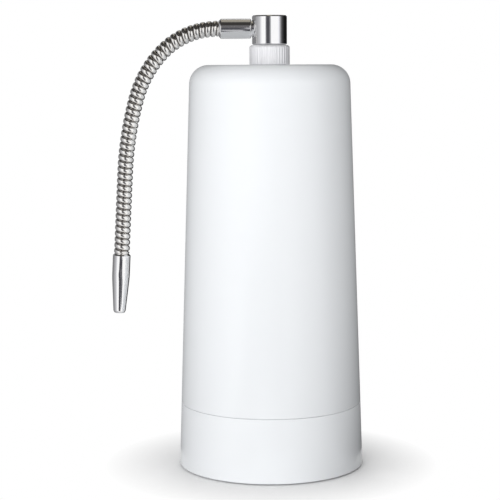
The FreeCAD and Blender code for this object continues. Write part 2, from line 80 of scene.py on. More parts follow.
# Points nearer than MERGE are one, and points nearer than ON_WALL to a wall lie on it
MERGE = 1e-7
ON_WALL = 1e-6

# Play between pieces that fit into one another
PLAY = 0.00005

# How far a cutter reaches past the wall that it cuts
PAST = 0.004

# Rounds of small edges, from sharp to soft, and of the two edges that meet at the seam
SHARP = 0.0002
CRISP = 0.0003
NEAT = 0.0004
EASED = 0.0005
SOFT = 0.0006
BLUNT = 0.0008
SEAM_ROUND = 0.00045

# Shares of a thread's pitch: from its middle to the edge of its valley, and its sloping flank
THREAD_EDGE = 8 / 21
THREAD_FLANK = 5 / 21


def length(default, description):
    return FloatProperty(description=description, default=default, unit="LENGTH", precision=5)


def lengths(defaults, description):
    return FloatVectorProperty(
        description=description, default=defaults, size=len(defaults), unit="LENGTH", precision=5
    )


def angle(default, description):
    return FloatProperty(description=description, default=math.radians(default), subtype="ANGLE")


def plain(default, description):
    return FloatProperty(description=description, default=default)


def count(default, least, description):
    return IntProperty(description=description, default=default, min=least)


def colour(default, description):
    return FloatVectorProperty(
        description=description, default=default, subtype="COLOR", size=3, min=0, max=1
    )


def named(group):
    """Give each property of a group its name, from the words of its attribute."""
    for attribute, kept in group.__annotations__.items():
        kept.keywords["name"] = attribute.replace("_", " ").title()
    return group


@named
class PurifierBase(bpy.types.PropertyGroup):
    """Sizes of the base cup, its foot ring and the seal on it."""

    foot_radius: length(BASE_HIGH.x, "Skirt's radius at the foot")
    foot_height: length(BASE_LOW.z, "Gap under the skirt, which stands on the rubber ring")
    foot_inner: length(0.0567, "Radius inside the rubber ring")
    seam_radius: length(0.0645, "Skirt's radius at the seam")
    seam_height: length(0.0458, "Top of the skirt")
    skirt_inner: length(0.0613, "Radius of the skirt's inner wall")
    shelf_under: length(0.042, "Underside of the shelf that carries the seal")
    seal_inner: length(0.0564, "Radius inside the seal")
    spigot_radius: length(0.0561, "Radius over the spigot's thread")
    spigot_top: length(BASE_HIGH.z, "Top of the threaded spigot")
    bowl_radius: length(0.0529, "Radius inside the spigot")
    floor_top: length(0.024, "Bottom of the bowl")
    floor_under: length(0.020, "Underside of the bowl")
    floor_round: length(0.002, "Round at the bottom of the bowl")
    rib_pairs: count(4, 1, "Ribs that cross the base")
    rib_thick: length(0.002, "Thickness of the ribs")
    rib_foot: length(0.003, "Lower edge of the ribs")
    boss_radius: length(0.0085, "Round pad for the inlet")
    boss_face: length(0.06725, "How far back the pad reaches")
    inlet_height: length(0.033, "Height of the inlet's axis")
    stem_bore: length(0.00655, "Radius of the hole for the inlet's stem")


@named
class PurifierHousing(bpy.types.PropertyGroup):
    """Sizes of the tall housing."""

    foot_radius: length(HOUSING_HIGH.x, "Radius at the seam")
    foot_height: length(HOUSING_LOW.z - SEAM_CLOSED, "Lower edge, above the seam's gap")
    top_radius: length(0.0564, "Radius where the sides would meet the top")
    top_height: length(0.2863, "Height of the flat top")
    shoulder: length(0.0135, "Round between the sides and the top")
    wall: length(0.0035, "Thickness of the sides")
    roof: length(0.004, "Thickness of the top")
    inner_round: length(0.0075, "Round under the shoulder")
    neck_radius: length(0.011, "Radius of the neck under the nut")
    neck_top: length(HOUSING_HIGH.z, "Top of the neck")
    neck_bore: length(0.00806, "Radius of the swivel's bore")
    seat_radius: length(0.015, "Radius of the cartridge's upper seat")
    seat_height: length(0.276, "Underside of that seat")
    seat_round: length(0.0015, "Round where that seat meets the roof")
    land_radius: length(0.05625, "Radius inside the thread's land")
    land_under: length(0.0476, "Lower edge of the land")
    land_top: length(0.0636, "Upper edge of the land")
    thread_pitch: length(0.004, "Pitch of the thread on spigot and land")
    thread_depth: length(0.0011, "Depth of that thread")


@named
class PurifierCartridge(bpy.types.PropertyGroup):
    """Sizes of the cartridge inside."""

    bore: length(0.010, "Radius of the hole in the caps")
    cap_floor: length(0.003, "Thickness of a cap's floor")
    cap_round: length(0.0016, "Round over a cap's outer edge")
    ring_margin: length(0.008, "Flat margin outside the shallow ring in a cap's face")
    ring_clear: length(0.004, "Flat stretch between the gasket and that ring")
    ring_dip: length(0.0006, "Depth of that ring")
    wrap_outer: length(WRAP_HIGH.x, "Radius over the felt")
    wrap_inner: length(0.0404, "Radius of the carbon block")
    gasket_radius: length(0.018, "Radius of the rubber gaskets")
    gasket_thick: length(0.0025, "Thickness of the gaskets")
    felt_wave: length(0.00025, "How far the felt's surface wanders")


@named
class PurifierInlet(bpy.types.PropertyGroup):
    """Sizes of the push-in fitting, measured outwards from the boss's face."""

    stem_radius: length(0.0065, "Threaded stem in the boss")
    stem_length: length(0.013, "Length of the stem")
    water_way: length(0.0022, "Radius of the way to the bowl")
    hex_radius: length(0.0098, "Radius over the hexagon's corners")
    hex_thick: length(0.004, "Thickness of the hexagon")
    barrel_radius: length(0.0082, "Radius of the barrel")
    barrel_length: length(0.017, "How far the barrel stands out")
    barrel_round: length(0.0009, "Round at the barrel's mouth")
    tube_radius: length(0.0032, "Radius of the hole for the tube")
    socket_bottom: length(0.0015, "Where the tube stops")
    socket_top: length(0.0085, "Where the seal sits")
    seal_top: length(0.0105, "Outer side of the seal")
    chamber_radius: length(0.005, "Radius round the collet")
    collet_foot: length(0.0108, "Inner end of the collet")
    collet_end: length(0.0188, "Outer end of the collet")
    collet_flange: length(0.0064, "Radius of the collet's flange")


@named
class PurifierSwivel(bpy.types.PropertyGroup):
    """Sizes of the collar nut and the swivelling elbow."""

    nut_radius: length(NUT_HIGH.x, "Radius over the flutes")
    nut_bore: length(0.0111, "Radius inside the nut")
    nut_chamfer: length(0.0012, "Chamfer round the nut's top")
    lip_bore: length(0.0083, "Radius of the hole in the nut's top")
    lip_under: length(0.2969, "Underside of the nut's lip")
    flute_count: count(40, 3, "Grip flutes round the nut")
    flute_depth: length(0.0003, "Depth of a flute")
    flute_width: length(0.0016, "Width of a flute at the surface")
    drum_radius: length(0.01225, "Radius of the elbow's drum")
    drum_foot: length(0.3001, "Underside of the drum")
    drum_chamfer: length(0.0008, "Chamfer round the drum")
    tail_radius: length(0.008, "Radius of the tail in the neck")
    seal_groove: lengths((0.0066, 0.2836, 0.286), "Radius, foot and top of the groove for the tail's seal")
    ring_groove: lengths((0.007, 0.2945, 0.2956), "The same of the groove for the retaining ring")
    water_way: length(0.0046, "Radius of the way up the tail")
    port_radius: length(0.005, "Radius of the side outlet")
    spot_face: length(SPOT_FACE, "Distance of the side outlet's flat face from the axis")
    outlet_height: length(0.3115, "Height of the side outlet's axis")


@named
class PurifierSpout(bpy.types.PropertyGroup):
    """Sizes of the nipple, the ferrule, the wound spout and the nozzle."""

    nipple_radius: length(0.00565, "Radius of the nipple's shoulder")
    nipple_length: length(0.006, "Length of that shoulder")
    nipple_depth: length(0.007, "How deep the nipple is screwed in")
    nipple_thread: length(0.00495, "Radius of the screwed end")
    nipple_way: length(0.0018, "Radius of the nipple's bore")
    barb_radius: length(0.00245, "Radius of the barb")
    barb_length: length(0.015, "Length of the barb")
    ferrule_radius: length(FERRULE_HIGH.y, "Radius of the crimped sleeve")
    ferrule_start: length(0.0022, "Sleeve's inner end, out from the spot face")
    ferrule_end: length(-FERRULE_LOW.x - SPOT_FACE, "Its outer end, out from the spot face")
    ferrule_waist: length(0.0065, "Radius at the inner end")
    waist_round: length(0.0001, "Round at the sleeve's inner end")
    ferrule_lip: length(0.0004, "Length of the step at the inner end")
    ferrule_shoulder: length(0.0078, "Length of the rounded shoulder")
    ferrule_chamfer: length(0.0016, "Chamfer at the outer end")
    grip: length(0.004, "How far from the ferrule's start the winding begins")
    crest: length(0.0056, "Radius over the winding")
    valley: length(0.0044, "Radius in the gaps of the winding")
    end_radius: length(0.0047, "Radius inside the ferrule and the nozzle")
    strand: plain(0.9, "Share of the pitch that a strand fills")
    bore: length(0.00365, "Radius inside the winding")
    pitch: length(0.0042, "About how far apart the turns are")
    lead: length(0.0013, "Straight stretch outside the ferrule")
    bends: lengths((0.054, 0.077, 0.244), "Radii of the three bends")
    first_angle: angle(47.4, "Turn of the first bend")
    second_angle: angle(27.0, "Turn of the second bend")
    third_angle: angle(12.4, "Turn of the third bend")
    drop: length(0.058, "Straight stretch above the nozzle")
    nozzle_radius: length(0.0063, "Radius of the nozzle")
    nozzle_length: length(0.0425, "Length of the nozzle")
    nozzle_straight: length(0.017, "Where the nozzle begins to taper")
    taper_round: length(0.06, "Large round where the taper begins")
    nozzle_chamfer: length(0.0011, "Chamfer round the nozzle's mouth")
    nozzle_socket: length(0.008, "How deep the winding sits in the nozzle")
    socket_radius: length(0.00475, "Radius of that socket")
    tip_radius: length(0.0044, "Radius where the tip begins to round")
    tip_end: length(0.00365, "Radius of the tip's face")
    tip_round: length(0.0015, "Length of the rounded tip, and its round")
    outlet_radius: length(0.00275, "Radius of the outlet")


@named
class PurifierFinishes(bpy.types.PropertyGroup):
    """Colours of the finishes."""

    white: colour((0.85, 0.87, 0.892), "Housing and base")
    collar: colour((0.94, 0.94, 0.965), "Fluted nut")
    chrome: colour((0.96, 0.96, 0.965), "Elbow, ferrule and nozzle")
    steel: colour((0.97, 0.955, 0.93), "Wound spout")
    rubber: colour((0.022, 0.022, 0.024), "Foot ring, seals and gaskets")
    acetal: colour((0.78, 0.78, 0.76), "Inlet fitting")
    collet: colour((0.30, 0.32, 0.35), "Inlet collet")
    cap: colour((0.80, 0.80, 0.76), "Cartridge caps")
    carbon: colour((0.016, 0.016, 0.017), "Carbon block")
    felt: colour((0.82, 0.82, 0.79), "Felt wrap")
    liner: colour((0.72, 0.73, 0.70), "Hose inside the spout")


@named
class PurifierStudio(bpy.types.PropertyGroup):
    """Camera and lights."""

    distance: length(1.1, "How far in front of the axis the camera stands")
    height: length(0.2874, "Camera's height")
    aside: length(-0.01455, "Camera's place along X")
    tilt: angle(6.87, "How far the camera looks down")
    roll: angle(-0.32, "Camera's turn about its own axis")
    lens: plain(111.62, "Focal length in mm")
    film: plain(36.0, "Width of the camera's film in mm")
    key: plain(12.75, "Power of the softbox near the camera in watts")
    left: plain(1.2, "Power of the left softbox in watts")
    back: plain(6.0, "Power of the softbox behind in watts")
    ambient: plain(0.51, "Strength of the light from all round")
    lamp_reach: length(1.5, "How far the softboxes stand from the axis")
    screen_reach: length(1.45, "How far the screens stand from the axis")


GROUPS = {
    "base": PurifierBase,
    "housing": PurifierHousing,
    "cartridge": PurifierCartridge,
    "inlet": PurifierInlet,
    "swivel": PurifierSwivel,
    "spout": PurifierSpout,
    "finishes": PurifierFinishes,
    "studio": PurifierStudio,
}


def sizes(group):
    return getattr(bpy.context.scene, f"purifier_{group}")


# Node helpers


class Signal:
    """A socket whose sums, products and powers add Math nodes."""

    def __init__(self, recipe, socket):
        self.recipe = recipe
        self.socket = socket

    def _join(self, operation, first, second):
        return self.recipe.add("ShaderNodeMath", {"operation": operation}, {0: first, 1: second})

    def __add__(self, other):
        return self._join("ADD", self, other)

    def __sub__(self, other):
        return self._join("SUBTRACT", self, other)

    def __rsub__(self, other):
        return self._join("SUBTRACT", other, self)

    def __mul__(self, other):
        return self._join("MULTIPLY", self, other)

    def __pow__(self, other):
        return self._join("POWER", self, other)

    def largest(self, other):
        return self._join("MAXIMUM", self, other)

    __radd__ = __add__
    __rmul__ = __mul__


class Recipe:
    """The node tree of one material or world."""

    def __init__(self, owner):
        self.owner = owner
        owner.use_nodes = True
        self.tree = owner.node_tree
        self.tree.nodes.clear()

    def add(self, kind, settings=None, sockets=None, out=0):
        """Make a node, set it up, feed its sockets and return one of its outputs."""
        node = self.tree.nodes.new(kind)
        for name, setting in (settings or {}).items():
            setattr(node, name, setting)
        for name, given in (sockets or {}).items():
            socket = node.inputs[name]
            if isinstance(given, Signal):
                self.tree.links.new(given.socket, socket)
            elif socket.type == "RGBA":
                socket.default_value = (*given, 1)
            else:
                socket.default_value = given
        return Signal(self, node.outputs[out] if node.outputs else None)

    def place(self):
        return self.add("ShaderNodeTexCoord", out="Object")

    def seen(self):
        """1 for the camera's own rays and for those of reflections and glass, 0 for bounced light."""
        kinds = ("Is Camera Ray", "Is Glossy Ray", "Is Transmission Ray")
        camera, glossy, through = [self.add("ShaderNodeLightPath", out=kind) for kind in kinds]
        return camera.largest(glossy).largest(through)

    def ramp(self, value, start, end, first=0.0, last=1.0):
        """Run evenly from one number to another while a value goes from start to end."""
        sockets = {"Value": value, "From Min": start, "From Max": end, "To Min": first, "To Max": last}
        return self.add("ShaderNodeMapRange", None, sockets)

    def cloud(self, place, scale, detail=3.0, stretch=None):
        """Soft noise from 0 to 1 about a half."""
        if stretch:
            place = self.add("ShaderNodeMapping", None, {"Vector": place, "Scale": stretch})
        sockets = {"Vector": place, "Scale": scale, "Detail": detail, "Roughness": 0.55}
        return self.add("ShaderNodeTexNoise", None, sockets)

    def blend(self, share, first, second):
        """A colour between two."""
        return self.add("ShaderNodeMix", {"data_type": "RGBA"}, {0: share, 6: first, 7: second}, out=2)

    def tone(self, share, shade, low, high):
        """A colour between two tones of a shade, each lighter or darker by a share."""
        tones = [tuple(min(1.0, part * times) for part in shade) for times in (low, high)]
        return self.blend(share, *tones)

    def bump(self, height, distance, strength=1.0, under=None):
        sockets = {"Height": height, "Distance": distance, "Strength": strength}
        if under:
            sockets["Normal"] = under
        return self.add("ShaderNodeBump", None, sockets)

    def surface(self, **sockets):
        """Finish with one principled shader, whose sockets are written with underscores."""
        spaced = {name.replace("_", " "): given for name, given in sockets.items()}
        shader = self.add("ShaderNodeBsdfPrincipled", None, spaced)
        self.add("ShaderNodeOutputMaterial", None, {"Surface": shader})
        return self.owner


def new_recipe(name):
    return Recipe(bpy.data.materials.new(name))


def begin(name, colour_name):
    """A new material's recipe, with its colour and its place on the object."""
    recipe = new_recipe(name)
    return recipe, tuple(getattr(sizes("finishes"), colour_name)), recipe.place()


# Finishes


def white_moulding(name):
    """Glossy white moulding: slow cloudiness in its tone, a faint moulding ripple and handling haze."""
    recipe, shade, place = begin(name, "white")
    slow = recipe.cloud(place, 9, 2)
    haze = recipe.cloud(place, 60, 5, (1, 1, 0.35))
    ripple = recipe.bump(recipe.cloud(place, 210, 2), 0.00012, 0.06)
    grain = recipe.bump(recipe.cloud(place, 2600, 3), 0.00002, 0.12, ripple)
    return recipe.surface(
        Base_Color=recipe.tone(slow, shade, 0.985, 1.015),
        Roughness=0.2 + haze * 0.1,
        IOR=1.5,
        Normal=grain,
    )


def collar_plastic(name):
    """Satin pearl-white moulding of the fluted nut."""
    recipe, shade, place = begin(name, "collar")
    slow = recipe.cloud(place, 120, 3)
    grain = recipe.bump(recipe.cloud(place, 3000, 3), 0.00002, 0.2)
    return recipe.surface(
        Base_Color=recipe.tone(slow, shade, 0.97, 1.03),
        Metallic=0.3,
        Roughness=0.2 + recipe.cloud(place, 400, 3) * 0.08,
        IOR=1.49,
        Normal=grain,
    )


def chrome_plate(name):
    """Polished plating with the faintest waviness, haze and a few polishing hairlines."""
    recipe, shade, place = begin(name, "chrome")
    haze = recipe.cloud(place, 150, 4)
    hairs = recipe.cloud(place, 900, 2, (1, 1, 0.05))
    wave = recipe.bump(recipe.cloud(place, 90, 1), 0.0001, 0.012)
    return recipe.surface(
        Base_Color=recipe.tone(haze, shade, 0.98, 1.02),
        Metallic=1.0,
        Roughness=0.05 + haze * 0.04 + hairs * 0.02,
        Normal=wave,
    )


def wound_steel():
    """Bright drawn strip: fine lines along the winding, dull down in its gaps, where painted shade darkens
    its colour.
    """
    recipe = new_recipe("wound_steel")
    shade = tuple(sizes("finishes").steel)
    depth = recipe.add("ShaderNodeAttribute", {"attribute_name": "depth"}, out="Fac")
    along = recipe.add("ShaderNodeUVMap", {"uv_map": "winding"})
    lines = recipe.cloud(along, 40, 4, (0.06, 1, 1))
    gap = depth ** 2.2
    bright = recipe.tone(lines, shade, 0.95, 1.03)
    # Painted shade: a dark brownish colour blended in the deeper the strip dips into the gaps between turns
    painted_gap_shade = (0.12, 0.10, 0.085)
    return recipe.surface(
        Base_Color=recipe.blend(gap, bright, painted_gap_shade),
        Metallic=1.0,
        Roughness=0.14 + lines * 0.06 + gap * 0.3,
        Normal=recipe.bump(lines, 0.00003, 0.1),
    )


def clip_steel(name):
    """Plain spring steel of the retaining ring."""
    recipe, shade, place = begin(name, "steel")
    lines = recipe.cloud(place, 800, 3, (1, 1, 4))
    return recipe.surface(
        Base_Color=recipe.tone(lines, shade, 0.75, 0.95),
        Metallic=1.0,
        Roughness=0.25 + lines * 0.15,
        Normal=recipe.bump(lines, 0.00003, 0.3),
    )


def moulded(name, colour_name, cloud, tones, dullness, grain, ior):
    """A moulding with a cloudy tone that also dulls it, under a fine grain.

    The cloud is (scale, detail), its tones (darkest, lightest), its dullness (least, what the cloud adds)
    and the grain (scale, detail, height, strength).
    """
    recipe, shade, place = begin(name, colour_name)
    slow = recipe.cloud(place, *cloud)
    least, added = dullness
    scale, detail, height, strength = grain
    return recipe.surface(
        Base_Color=recipe.tone(slow, shade, *tones),
        Roughness=least + slow * added,
        IOR=ior,
        Normal=recipe.bump(recipe.cloud(place, scale, detail), height, strength),
    )


def black_rubber(name):
    """Moulded rubber with a dusty bloom."""
    return moulded(name, "rubber", (90, 5), (0.7, 1.8), (0.6, 0.2), (1800, 4, 0.00006, 0.35), 1.5)


def satin_plastic(name, colour_name):
    """Satin moulded plastic with a slightly cloudy tone."""
    return moulded(name, colour_name, (180, 3), (0.93, 1.05), (0.34, 0.16), (2400, 3, 0.00003, 0.25), 1.48)


def fitting_acetal(name):
    return satin_plastic(name, "acetal")


def collet_acetal(name):
    return satin_plastic(name, "collet")


def liner_hose_plastic(name):
    return satin_plastic(name, "liner")


def cap_plastic(name):
    """Milky moulded caps with flow marks that run out from the middle."""
    return moulded(name, "cap", (45, 4), (0.94, 1.04), (0.36, 0.2), (1500, 3, 0.00004, 0.2), 1.49)


def carbon_grain(name):
    """Pressed black grains with a few that glint."""
    recipe, shade, place = begin(name, "carbon")
    grains = recipe.add("ShaderNodeTexVoronoi", {"feature": "F1"}, {"Vector": place, "Scale": 1400.0})
    return recipe.surface(
        Base_Color=recipe.tone(grains, shade, 0.6, 2.2),
        Roughness=0.95 - grains * 0.35,
        Normal=recipe.bump(grains, 0.0002, 0.8),
    )


def felt_wrap(name):
    """Pressed fibre felt: crossing fibres in two directions and a slow cloudiness."""
    recipe, shade, place = begin(name, "felt")
    level = recipe.cloud(place, 420, 6, (1, 1, 4.5))
    upright = recipe.cloud(place, 380, 6, (3.5, 3.5, 0.6))
    clumps = recipe.cloud(place, 75, 3)
    fibres = level * 0.5 + upright * 0.5
    tone = fibres * 0.65 + clumps * 0.35
    contrast = 1.8
    spread = (tone - 0.5) * contrast + 0.5
    return recipe.surface(
        Base_Color=recipe.tone(spread, shade, 0.66, 1.16),
        Roughness=0.88 + fibres * 0.1,
        Sheen_Weight=0.25,
        Sheen_Roughness=0.6,
        Normal=recipe.bump(fibres, 0.0008, 1.0),
    )


def finish_for(slot):
    """The material that a slot's pieces share, made the first time it is asked for."""
    made = bpy.data.materials.get(f"{slot}_finish")
    return made or FINISH_MAKERS[slot](f"{slot}_finish")


FINISH_MAKERS = {
    "white_moulding": white_moulding,
    "collar_plastic": collar_plastic,
    "chrome_plate": chrome_plate,
    "stainless": clip_steel,
    "black_rubber": black_rubber,
    "fitting_plastic": fitting_acetal,
    "collet_plastic": collet_acetal,
    "cap_plastic": cap_plastic,
    "carbon": carbon_grain,
    "felt": felt_wrap,
    "liner_plastic": liner_hose_plastic,
}


# Mesh helpers


def round_corner(bm, vert, radius, steps):
    """Replace a corner of a wire outline by an arc of a radius."""
    first, second = [edge.other_vert(vert).co - vert.co for edge in vert.link_edges]
    turn = math.pi - first.angle(second)
    bmesh.ops.bevel(
        bm,
        geom=[vert],
        offset=radius * math.tan(turn / 2),
        offset_type="OFFSET",
        segments=steps,
        profile=0.5,
        affect="VERTICES",
        material=-1,
    )


def outline(corners, steps=4):
    """A wire outline through corners of (radius, height), each with a round and its steps if it has one.

    It is closed, unless it starts and ends on the axis.
    """
    bm = bmesh.new()
    verts = [bm.verts.new((corner[0], 0, corner[1])) for corner in corners]
    for first, second in zip(verts, verts[1:]):
        bm.edges.new((first, second))
    if corners[0][0] > 0 or corners[-1][0] > 0:
        bm.edges.new((verts[-1], verts[0]))
    for vert, corner in zip(verts, corners):
        if len(corner) > 2:
            round_corner(bm, vert, corner[2], corner[3] if len(corner) > 3 else steps)
    return bm


def cut_rows(bm, radius, low, high, rows):
    """Divide the outline's upright edge at a radius, between two heights."""
    chosen = []
    for edge in bm.edges:
        middle = (edge.verts[0].co + edge.verts[1].co) / 2
        upright = abs(edge.verts[0].co.x - edge.verts[1].co.x) < MERGE
        if upright and abs(middle.x - radius) < ON_WALL and low < middle.z < high:
            chosen.append(edge)
    bmesh.ops.subdivide_edges(bm, edges=chosen, cuts=rows)


def sweep(bm, turn, steps, closed):
    """Sweep an outline round the upright axis."""
    bmesh.ops.spin(
        bm,
        geom=bm.verts[:] + bm.edges[:],
        cent=(0, 0, 0),
        axis=(0, 0, 1),
        dvec=(0, 0, 0),
        angle=turn,
        steps=steps,
        use_merge=closed,
        use_normal_flip=False,
        use_duplicate=False,
    )


def spin(bm, turns=SMOOTH_TURN):
    """Spin the outline into a closed solid, with its faces outwards."""
    sweep(bm, math.tau, turns, True)
    bmesh.ops.remove_doubles(bm, verts=bm.verts, dist=MERGE)
    bmesh.ops.recalc_face_normals(bm, faces=bm.faces)
    return bm


def turned(corners, turns=SMOOTH_TURN):
    return spin(outline(corners), turns)


def moved(bm, matrix):
    bmesh.ops.transform(bm, matrix=matrix, verts=bm.verts)
    return bm


def as_object(bm, name):
    mesh = bpy.data.meshes.new(name)
    bm.to_mesh(mesh)
    bm.free()
    thing = bpy.data.objects.new(name, mesh)
    bpy.context.scene.collection.objects.link(thing)
    return thing


def combined(bm, other, operation):
    """Join two solids, or cut the second out of the first, as one clean mesh."""
    target = as_object(bm, "target")
    tool = as_object(other, "tool")
    step = target.modifiers.new("combine", "BOOLEAN")
    step.object = tool
    step.operation = operation
    step.solver = "EXACT"
    bpy.context.view_layer.update()
    made = bmesh.new()
    made.from_object(target, bpy.context.evaluated_depsgraph_get())
    for thing in (target, tool):
        mesh = thing.data
        bpy.data.objects.remove(thing)
        bpy.data.meshes.remove(mesh)
    bmesh.ops.remove_doubles(made, verts=made.verts, dist=MERGE)
    return made


def add_piece(bm, name, body, slot, replaced, finish=None, sharp=32):
    """Turn a mesh into a finished piece that rides on a body and stands for a solid."""
    piece = as_object(bm, name)
    piece.data.shade_smooth()
    piece.data.set_sharp_from_angle(angle=math.radians(sharp))
    piece.data.materials.append(finish or finish_for(slot))
    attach(piece, body)
    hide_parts(replaced)
    return piece


def dress_node(node, slot):
    """Give a solid that shows as it is its finish."""
    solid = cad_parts[node]
    for holder in solid.material_slots:
        holder.material = finish_for(slot)


def flat_ring(outer, inner, low, high, edge, turns=SMOOTH_TURN):
    """A flat ring with its four edges rounded."""
    return turned([(outer, low, edge), (outer, high, edge), (inner, high, edge), (inner, low, edge)], turns)


def cylinder(radius, low, high, turns=SMOOTH_TURN):
    return turned([(0, low), (radius, low), (radius, high), (0, high)], turns)


def thread(bm, radius, low, high, way):
    """Sink a rounded right-hand thread into a wall: way is -1 round a spigot and 1 inside a bore."""
    size = sizes("housing")
    pitch = size.thread_pitch
    for vert in bm.verts:
        flat = Vector((vert.co.x, vert.co.y, 0))
        if abs(flat.length - radius) > ON_WALL or not low < vert.co.z < high:
            continue
        phase = (vert.co.z / pitch - math.atan2(flat.y, flat.x) / math.tau) % 1.0
        valley = min(1.0, max(0.0, (THREAD_EDGE - abs(phase - 0.5)) / THREAD_FLANK))
        fade = min(1.0, (vert.co.z - low) / (pitch / 2), (high - vert.co.z) / (pitch / 2))
        depth = size.thread_depth * (valley * valley * (3 - 2 * valley)) * fade
        vert.co += flat.normalized() * depth * way
    return bm


# Base


def rib_pair(turn):
    """One plate right across the base, under the floor and up into the slot behind the skirt."""
    size = sizes("base")
    reach_low = (size.skirt_inner + size.foot_radius) / 2
    reach_high = (size.skirt_inner + size.seam_radius) / 2
    inner = (size.bowl_radius + size.spigot_radius) / 2
    top = (size.shelf_under + size.seam_height) / 2
    floor = (size.floor_under + size.floor_top) / 2
    half = [(reach_low, size.rib_foot), (reach_high, top), (inner, top), (inner, floor)]
    bm = bmesh.new()
    places = half + [(-out, up) for out, up in reversed(half)]
    verts = [bm.verts.new((out, -size.rib_thick / 2, up)) for out, up in places]
    face = bm.faces.new(verts)
    made = bmesh.ops.extrude_face_region(bm, geom=[face])
    swept = [item for item in made["geom"] if isinstance(item, bmesh.types.BMVert)]
    bmesh.ops.translate(bm, verts=swept, vec=(0, size.rib_thick, 0))
    bmesh.ops.recalc_face_normals(bm, faces=bm.faces)
    return moved(bm, Matrix.Rotation(turn, 4, "Z"))


def inlet_way():
    """The frame of the inlet: its own Z points out of the back, from the boss's face."""
    size = sizes("base")
    place = Matrix.Translation((0, size.boss_face, size.inlet_height))
    return place @ Matrix.Rotation(-math.pi / 2, 4, "X")


class PURIFIER_OT_base(bpy.types.Operator):
    """Base cup with its threaded spigot, ribs and inlet boss, on a rubber ring, with its seal"""

    bl_idname = "purifier.base"
    bl_label = "Base"

    def execute(self, context):
        size = sizes("base")
        cup = outline([
            (size.foot_radius, size.foot_height, SOFT),
            (size.seam_radius, size.seam_height, SEAM_ROUND),
            (size.spigot_radius, size.seam_height, CRISP),
            (size.spigot_radius, size.spigot_top, SOFT),
            (size.bowl_radius, size.spigot_top, NEAT),
            (size.bowl_radius, size.floor_top, size.floor_round),
            (0, size.floor_top),
            (0, size.floor_under),
            (size.spigot_radius, size.floor_under, NEAT),
            (size.spigot_radius, size.shelf_under, BLUNT),
            (size.skirt_inner, size.shelf_under, BLUNT),
            (size.skirt_inner, size.foot_height, NEAT),
        ])
        cut_rows(cup, size.spigot_radius, size.seam_height, size.spigot_top, rows=60)
        spin(cup, LARGE_TURN)
        runout = 0.001
        thread(cup, size.spigot_radius, size.seam_height + runout, size.spigot_top - runout, way=-1)
        for number in range(size.rib_pairs):
            cup = combined(cup, rib_pair(math.pi * number / size.rib_pairs), "UNION")
        root = (size.bowl_radius + size.spigot_radius) / 2 - size.boss_face
        pad = size.boss_radius
        boss = turned([(0, root), (pad, root), (pad, 0, EASED), (0, 0)], FINE_TURN)
        cup = combined(cup, moved(boss, inlet_way()), "UNION")
        bore = cylinder(size.stem_bore, root - PAST, PAST, FINE_TURN)
        cup = combined(cup, moved(bore, inlet_way()), "DIFFERENCE")
        add_piece(cup, "base_cup_moulding", "base", "white_moulding", "base_cup")

        foot = flat_ring(FOOT_HIGH.x, size.foot_inner, FOOT_LOW.z, FOOT_HIGH.z, SOFT, LARGE_TURN)
        add_piece(foot, "foot_ring_rubber", "base", "black_rubber", "foot_ring")
        seal = flat_ring(SEAL_HIGH.x, size.seal_inner, SEAL_LOW.z, SEAL_HIGH.z, BLUNT, LARGE_TURN)
        add_piece(seal, "housing_seal_rubber", "base", "black_rubber", "housing_seal")
        return {"FINISHED"}


# Inlet


class PURIFIER_OT_inlet(bpy.types.Operator):
    """Push-in fitting at the back, with its seal and release collet"""

    bl_idname = "purifier.inlet"
    bl_label = "Inlet"

    def execute(self, context):
        size = sizes("inlet")
        barrel = turned([
            (size.water_way, -size.stem_length, CRISP),
            (size.stem_radius, -size.stem_length, SOFT),
            (size.stem_radius, 0),
            (size.barrel_radius, 0),
            (size.barrel_radius, size.barrel_length, size.barrel_round),
            (size.chamber_radius, size.barrel_length, CRISP),
            (size.chamber_radius, size.socket_top),
            (size.tube_radius, size.socket_top),
            (size.tube_radius, size.socket_bottom),
            (size.water_way, size.socket_bottom),
        ], FINE_TURN)
        hexagon = bmesh.new()
        bmesh.ops.create_cone(
            hexagon,
            cap_ends=True,
            segments=6,
            radius1=size.hex_radius,
            radius2=size.hex_radius,
            depth=size.hex_thick,
            matrix=Matrix.Translation((0, 0, size.hex_thick / 2)) @ Matrix.Rotation(math.pi / 6, 4, "Z"),
        )
        corner_in, corner_up = 0.0008, 0.0005
        rounded = turned([
            (0, 0),
            (size.hex_radius - corner_in, 0),
            (size.hex_radius, corner_up),
            (size.hex_radius, size.hex_thick - corner_up),
            (size.hex_radius - corner_in, size.hex_thick),
            (0, size.hex_thick),
        ], FINE_TURN)
        hexagon = combined(hexagon, rounded, "INTERSECT")
        way = cylinder((size.water_way + size.barrel_radius) / 2, -PAST, size.hex_thick + PAST, FINE_TURN)
        hexagon = combined(hexagon, way, "DIFFERENCE")
        fitting = combined(barrel, hexagon, "UNION")
        moved(fitting, inlet_way())
        add_piece(fitting, "inlet_fitting_body", "base", "fitting_plastic", "inlet_fitting")

        neck = size.chamber_radius - PLAY
        seal = flat_ring(neck, size.tube_radius, size.socket_top, size.seal_top, EASED, FINE_TURN)
        add_piece(moved(seal, inlet_way()), "inlet_seal_ring", "base", "black_rubber", "inlet_seal")

        collet = turned([
            (size.tube_radius, size.collet_foot),
            (neck, size.collet_foot, SHARP),
            (neck, size.barrel_length + PLAY),
            (size.collet_flange, size.barrel_length + PLAY, CRISP),
            (size.collet_flange, size.collet_end, EASED),
            (size.tube_radius, size.collet_end, NEAT),
        ], FINE_TURN)
        add_piece(moved(collet, inlet_way()), "inlet_collet_ring", "base", "collet_plastic", "inlet_collet")
        return {"FINISHED"}


# Cartridge


